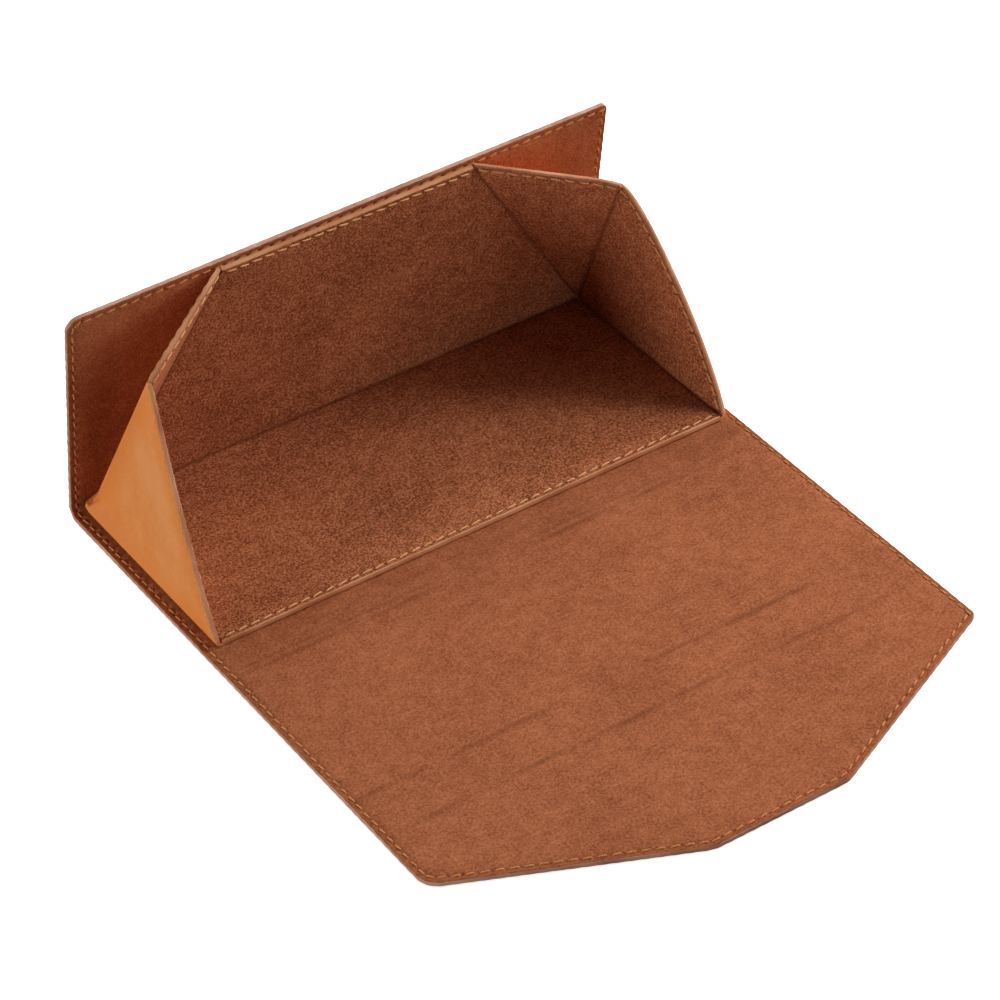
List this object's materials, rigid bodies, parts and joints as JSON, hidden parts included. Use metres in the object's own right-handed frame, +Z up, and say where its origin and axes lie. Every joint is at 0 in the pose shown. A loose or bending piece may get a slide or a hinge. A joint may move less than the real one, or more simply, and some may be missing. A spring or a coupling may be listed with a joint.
{
  "type": "eyeglasses case",
  "caption": "Folding leather eyeglasses case, shown open: a stiffened sheet with a back panel, base, front flap and magnetic tongue round a stitched tray with folding gusset ends.",
  "frame": {"origin": "underside of the base panel, below the middle of the tray floor", "axes": "+X along the case, +Y towards the back panel, +Z up from the table"},
  "size_m": [0.165, 0.204, 0.0722],
  "materials": {
    "outer_leather": "smooth full-grain leather, tan orange, satin, finely wrinkled",
    "suede_lining": "rust brown microfibre suede, matt, short mottled nap",
    "board": "grey stiffening board, matt",
    "sheet_thread": "rust orange waxed polyester thread",
    "tray_thread": "golden orange waxed polyester thread",
    "magnet": "nickel-plated disc magnet"
  },
  "bodies": {
    "base": {"back_fold_leather": "outer_leather", "back_fold_lining": "suede_lining", "base_board": "board", "base_leather": "outer_leather", "base_lining": "suede_lining", "base_seam_left": "sheet_thread", "base_seam_right": "sheet_thread", "end_fold_left": "outer_leather", "end_fold_right": "outer_leather", "tray_floor_board": "board", "tray_floor_leather": "outer_leather", "tray_floor_lining": "suede_lining", "tray_floor_seam": "tray_thread", "tray_fold_leather": "outer_leather"},
    "back": {"back_board": "board", "back_leather": "outer_leather", "back_lining": "suede_lining", "back_magnet": "magnet", "back_seam_left": "sheet_thread", "back_seam_right": "sheet_thread", "tray_back_board": "board", "tray_back_leather": "outer_leather", "tray_back_lining": "suede_lining", "tray_back_seam": "tray_thread"},
    "front": {"front_board": "board", "front_leather": "outer_leather", "front_lining": "suede_lining", "front_seam_left": "sheet_thread", "front_seam_right": "sheet_thread"},
    "tongue": {"tongue_board": "board", "tongue_leather": "outer_leather", "tongue_lining": "suede_lining", "tongue_magnet": "magnet", "tongue_seam": "sheet_thread"},
    "gusset_front_left": {"gusset_front_left_board": "board", "gusset_front_left_leather": "outer_leather", "gusset_front_left_lining": "suede_lining", "gusset_front_left_seam": "tray_thread"},
    "gusset_front_right": {"gusset_front_right_board": "board", "gusset_front_right_leather": "outer_leather", "gusset_front_right_lining": "suede_lining", "gusset_front_right_seam": "tray_thread"},
    "gusset_rear_left": {"gusset_rear_left_board": "board", "gusset_rear_left_leather": "outer_leather", "gusset_rear_left_lining": "suede_lining", "gusset_rear_left_seam": "tray_thread"},
    "gusset_rear_right": {"gusset_rear_right_board": "board", "gusset_rear_right_leather": "outer_leather", "gusset_rear_right_lining": "suede_lining", "gusset_rear_right_seam": "tray_thread"}
  },
  "joints": [
    {"name": "front_fold", "type": "hinge", "parent": "base", "child": "front", "pos_m": [0, -0.03573, 0.0018], "axis": [-1, 0, 0], "range_deg": [0, 120]},
    {"name": "tongue_fold", "type": "hinge", "parent": "front", "child": "tongue", "pos_m": [0, -0.11173, 0.0018], "axis": [-1, 0, 0], "range_deg": [0, 120]},
    {"name": "back_fold", "type": "hinge", "parent": "base", "child": "back", "pos_m": [0, 0.034, 0.0038], "axis": [1, 0, 0], "range_deg": [0, 18.5]},
    {"name": "gusset_front_left_fold", "type": "hinge", "parent": "base", "child": "gusset_front_left", "pos_m": [-0.0775, 0.034, 0.0038], "axis": [0, -1, 0], "range_deg": [0, 6.58]},
    {"name": "gusset_rear_left_fold", "type": "hinge", "parent": "back", "child": "gusset_rear_left", "pos_m": [-0.0775, 0.034, 0.0038], "axis": [-0.5, 0.1727, -0.8486], "range_deg": [0, 39.56]},
    {"name": "gusset_front_right_fold", "type": "hinge", "parent": "base", "child": "gusset_front_right", "pos_m": [0.0775, 0.034, 0.0038], "axis": [0, 1, 0], "range_deg": [0, 6.58]},
    {"name": "gusset_rear_right_fold", "type": "hinge", "parent": "back", "child": "gusset_rear_right", "pos_m": [0.0775, 0.034, 0.0038], "axis": [-0.5, -0.1727, 0.8486], "range_deg": [0, 39.56]}
  ],
  "couplings": [
    {"joint": "back_fold", "follows": "front_fold", "ratio": 0.15417},
    {"joint": "gusset_front_left_fold", "follows": "front_fold", "ratio": 0.054799},
    {"joint": "gusset_rear_left_fold", "follows": "front_fold", "ratio": 0.32967},
    {"joint": "gusset_front_right_fold", "follows": "front_fold", "ratio": 0.054799},
    {"joint": "gusset_rear_right_fold", "follows": "front_fold", "ratio": 0.32967}
  ]
}
